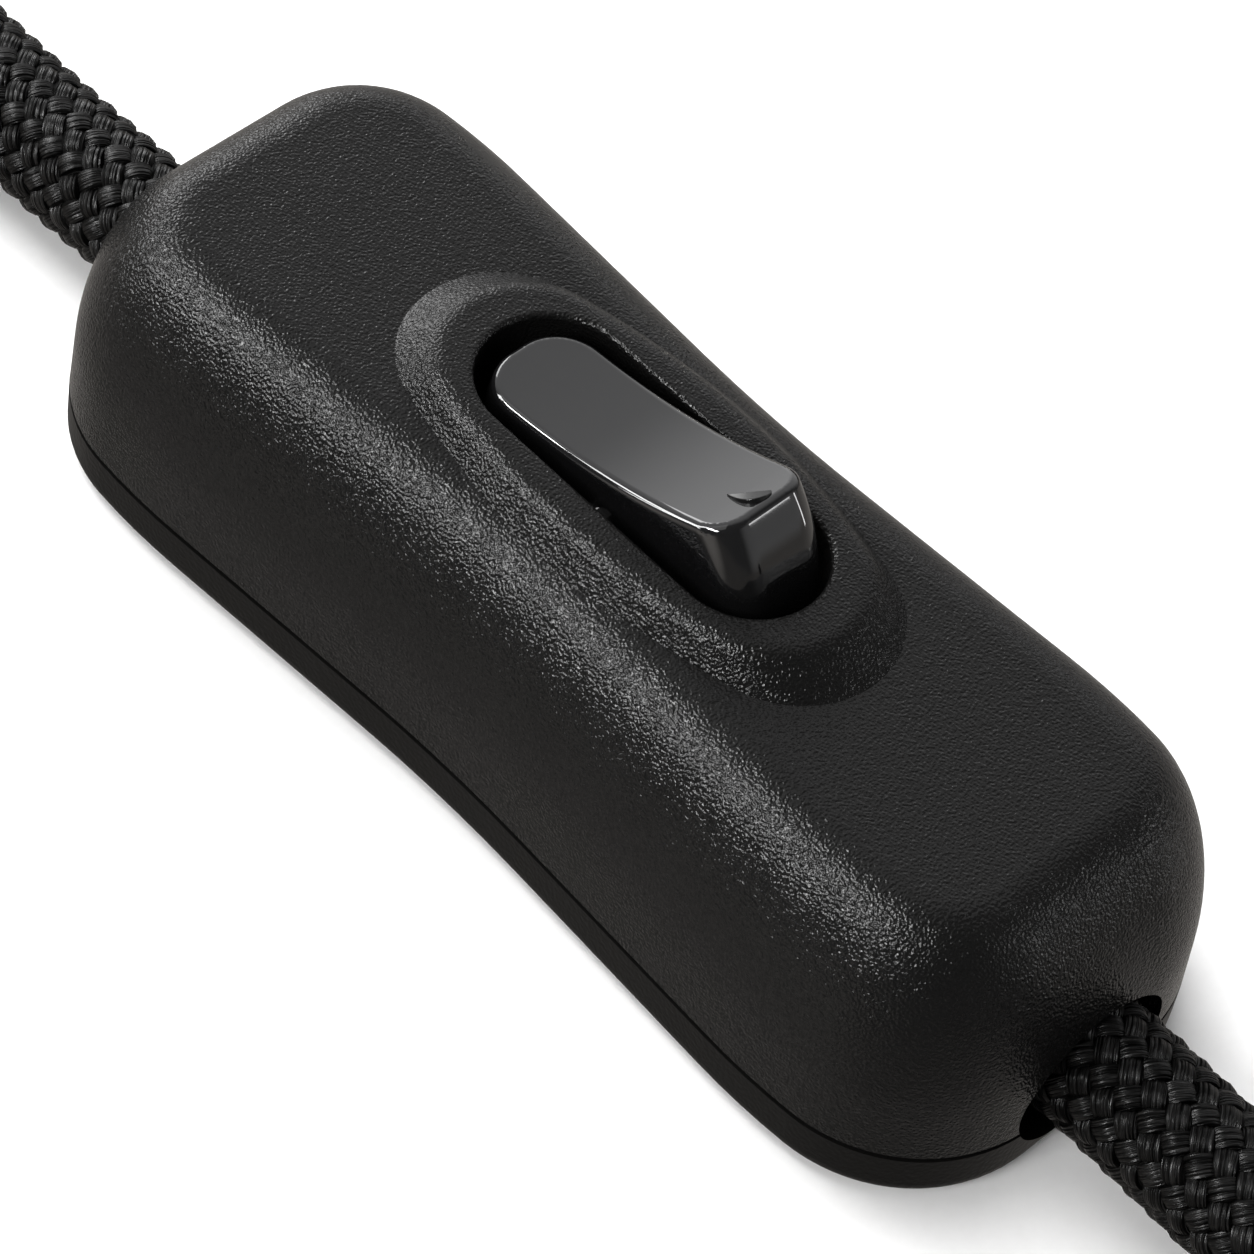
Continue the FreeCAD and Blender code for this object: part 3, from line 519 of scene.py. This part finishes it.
def make_tick():
    """A small raised crescent near the rocker's raised end, seated on the rocker's top."""
    rocker = frame["nodes"]["rocker"]
    top = BVHTree.FromPolygons(
        [v.co for v in rocker.data.vertices], [p.vertices for p in rocker.data.polygons]
    )
    first, last = (Vector((*end, 0)) for end in TICK_ENDS)
    chord = last - first
    outward = Vector((chord.y, -chord.x, 0)).normalized()
    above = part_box("rocker")[1].z + TICK_HEIGHT
    vertices, faces = [], []
    for step in range(TICK_STEPS + 1):
        share = step / TICK_STEPS
        bow = sin(pi * share) ** TICK_FULLNESS
        inner = first + chord * share + outward * (TICK_HOLLOW * bow)
        outer = first + chord * share + outward * (TICK_BELLY * bow + TICK_BLUNT * share)
        height = TICK_HEIGHT * (TICK_TIP_SHARE + (1 - TICK_TIP_SHARE) * bow)
        section = (
            (inner, -TICK_SINK, 0), (inner, height, TICK_INSET),
            (outer, height, TICK_INSET), (outer, -TICK_SINK, 0),
        )
        for corner, lift, inset in section:
            spot = corner.lerp((inner + outer) / 2, inset)
            hit, normal, _, _ = top.ray_cast(Vector((spot.x, spot.y, above)), Vector((0, 0, -1)))
            vertices.append(hit + normal * lift)
    for step in range(TICK_STEPS):
        for side in range(4):
            a, b = step * 4 + side, step * 4 + (side + 1) % 4
            faces.append((a, b, b + 4, a + 4))
    faces.append((3, 2, 1, 0))
    faces.append(tuple(TICK_STEPS * 4 + k for k in range(4)))
    mesh = bpy.data.meshes.new("rocker_tick")
    mesh.from_pydata(vertices, [], faces)
    mesh.validate()
    mesh.update()
    tick = link(bpy.data.objects.new("rocker_tick", mesh))
    tick.data.materials.append(
        smooth_plastic(
            "tick_satin", dark=(0.002, 0.002, 0.002), light=(0.0035, 0.0035, 0.0036),
            rough=(0.22, 0.36), gloss=0.25,
        )
    )
    rounding = tick.modifiers.new("rounding", "BEVEL")
    rounding.width = TICK_ROUNDING
    rounding.segments = 2
    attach(tick, "rocker")


# Stage


def make_floor():
    """A plain pale floor, which glossy surfaces mirror as the world's ground instead."""
    mesh = bpy.data.meshes.new("floor")
    r = FLOOR_REACH
    mesh.from_pydata([(-r, -r, 0), (r, -r, 0), (r, r, 0), (-r, r, 0)], [], [(0, 1, 2, 3)])
    floor = link(bpy.data.objects.new("floor", mesh))
    made, tree, shader = new_material("pale_floor", Specular_IOR_Level=0.0)
    fibres = noise(tree, place(tree), FLOOR_FIBRES, detail=4.0, roughness=0.7)
    finish_with(
        tree, shader,
        Base_Color=tint(tree, fibres, (0.86, 0.855, 0.85), (0.93, 0.928, 0.925)),
        Roughness=spread(tree, fibres, 0.8, 0.95),
    )
    mesh.materials.append(made)
    floor.visible_glossy = False


def make_world():
    """Pale surroundings: brighter behind on the left, dimmer on the right and below the horizon."""
    world = bpy.data.worlds.new("studio")
    bpy.context.scene.world = world
    world.use_nodes = True
    tree = world.node_tree
    direction = add(tree, "ShaderNodeTexCoord", {}).outputs["Generated"]

    def glow(towards, start, full, low, high):
        """From low to high as the direction comes round to one side."""
        facing = add(tree, "ShaderNodeVectorMath", {0: direction, 1: towards}, operation="DOT_PRODUCT")
        inputs = {
            "Value": facing.outputs["Value"],
            "From Min": start, "From Max": full, "To Min": low, "To Max": high,
        }
        return add(tree, "ShaderNodeMapRange", inputs, interpolation_type="SMOOTHSTEP").outputs["Result"]

    behind = glow((-0.75, 0.55, 0.37), 0.3, 0.85, 0.16, 1.3)
    left = glow((-0.87, 0.49, 0.07), 0.86, 1.0, 0.0, 1.0)
    right = glow((0.86, 0.5, 0.08), 0.75, 0.98, 0.0, 0.7)
    sky = arithmetic(tree, "ADD", arithmetic(tree, "ADD", behind, left), right)
    shaded = glow((-0.6, 0.8, 0), -0.5, 0.6, 0.28, 0.42)
    before = glow((-0.2, -0.97, -0.12), 0.8, 0.94, 0.0, 1.0)
    beyond = glow((0.75, 0.5, -0.43), 0.6, 0.95, 0.0, 0.14)
    ground = arithmetic(tree, "ADD", arithmetic(tree, "ADD", shaded, before), beyond)
    above = glow((0, 0, 1), -0.12, 0.03, 0.0, 1.0)
    strength = arithmetic(tree, "MULTIPLY_ADD", arithmetic(tree, "SUBTRACT", sky, ground), above, ground)
    tone = tint(tree, above, (1, 0.945, 0.89), (0.99, 0.99, 1))
    background = tree.nodes["Background"]
    tree.links.new(strength, background.inputs["Strength"])
    tree.links.new(tone, background.inputs["Color"])


def make_light(name, towards, size, power, mirrored):
    """A soft panel on one side of the object, which surfaces either mirror or are lit by."""
    data = bpy.data.lights.new(name, "AREA")
    data.shape = "RECTANGLE"
    data.size, data.size_y = size
    data.energy = power
    panel = link(bpy.data.objects.new(name, data))
    direction = Vector(towards).normalized()
    panel.location = direction * (MIRROR_DISTANCE if mirrored else FILL_DISTANCE)
    panel.rotation_euler = direction.to_track_quat("Z", "Y").to_euler()
    panel.visible_glossy = mirrored
    panel.visible_diffuse = not mirrored


def make_lights():
    """Panels that light the surfaces, then panels that only show as highlights in them."""
    fills = (
        ("overhead_fill", (-0.56, 0.14, 1.0), (0.85, 0.85), 11.2),
        ("left_fill", (-0.8, 0.05, 0.6), (0.5, 0.5), 3.0),
        ("front_fill", (0.05, -0.85, 0.65), (0.5, 0.5), 6.3),
    )
    highlights = (
        ("front_key", (-0.295, -0.697, 0.654), (0.6, 0.08), 11.8),
        ("high_key", (-0.36, -0.38, 0.85), (0.6, 0.4), 0.9),
        ("end_panel", (0.78, 0.54, 0.33), (0.1, 0.12), 0.5),
        ("edge_strip", (0.62, 0.77, 0.06), (0.04, 0.3), 0.5),
        ("corner_panel", (-0.77, -0.47, 0.43), (0.12, 0.28), 2.3),
        ("rim_strip", (-0.83, -0.52, 0.21), (0.34, 0.04), 1.5),
        ("side_panel", (-0.95, 0.25, 0.22), (0.3, 0.3), 2.0),
    )
    for panel in fills:
        make_light(*panel, mirrored=False)
    for panel in highlights:
        make_light(*panel, mirrored=True)


def make_camera():
    azimuth, elevation, roll = (radians(a) for a in (CAMERA_AZIMUTH, CAMERA_ELEVATION, CAMERA_ROLL))
    back = Vector((sin(azimuth) * cos(elevation), -cos(azimuth) * cos(elevation), sin(elevation)))
    level = Vector((cos(azimuth), sin(azimuth), 0))
    upright = back.cross(level)
    right = level * cos(roll) + upright * sin(roll)
    up = upright * cos(roll) - level * sin(roll)
    eye = back * CAMERA_DISTANCE + right * CAMERA_ASIDE[0] + up * CAMERA_ASIDE[1]
    data = bpy.data.cameras.new("photo_view")
    data.sensor_width = SENSOR_WIDTH
    data.lens = CAMERA_LENS
    data.clip_start = NEAREST_SEEN
    camera = link(bpy.data.objects.new("photo_view", data))
    camera.matrix_world = Matrix.Translation(eye) @ Matrix((right, up, back)).transposed().to_4x4()
    bpy.context.scene.camera = camera


materials = make_materials()
dress_nodes(materials)
make_leads(materials)
make_tick()
make_floor()
make_world()
make_lights()
make_camera()
bpy.context.scene.view_settings.view_transform = "Standard"
